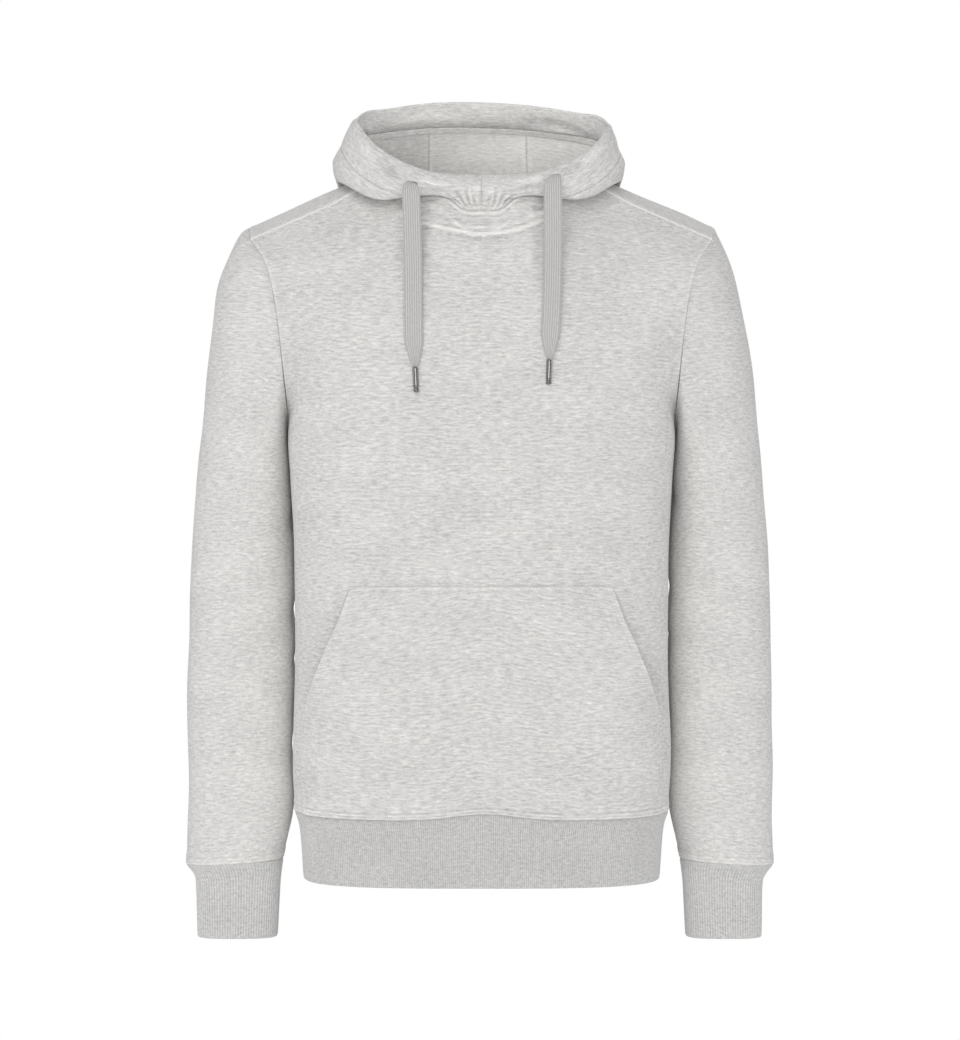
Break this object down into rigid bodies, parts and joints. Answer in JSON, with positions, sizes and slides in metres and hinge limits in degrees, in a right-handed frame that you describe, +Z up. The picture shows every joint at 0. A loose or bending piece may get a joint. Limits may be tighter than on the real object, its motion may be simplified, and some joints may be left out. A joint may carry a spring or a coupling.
{
  "type": "pullover hoodie",
  "caption": "Long-sleeved pullover hoodie in fleece, filled out and hollow, with ribbed cuffs and hem, a kangaroo pocket and a hood with flat drawcords.",
  "frame": {"origin": "midway between the high points of the two shoulders at the neck, where the hoodie hangs on what wears it", "axes": "+Z up; the front faces -Y; +X to the right of someone who looks at the front"},
  "size_m": [0.572, 0.3373, 0.8231],
  "materials": {
    "fleece": "light grey melange sweatshirt fleece, matt",
    "rib": "light grey melange rib knit, matt",
    "braid": "grey braided cotton, matt",
    "tip": "dark gunmetal plating, semi-gloss"
  },
  "bodies": {
    "root": {"body_front": "fleece", "body_back": "fleece", "sleeve_left": "fleece", "sleeve_right": "fleece", "cuff_left": "rib", "cuff_right": "rib", "hem_rib": "rib", "pocket": "fleece", "hood_left": "fleece", "hood_centre": "fleece", "hood_right": "fleece", "drawcord_left": "braid", "drawcord_right": "braid", "aglet_left": "tip", "aglet_right": "tip"}
  },
  "joints": []
}
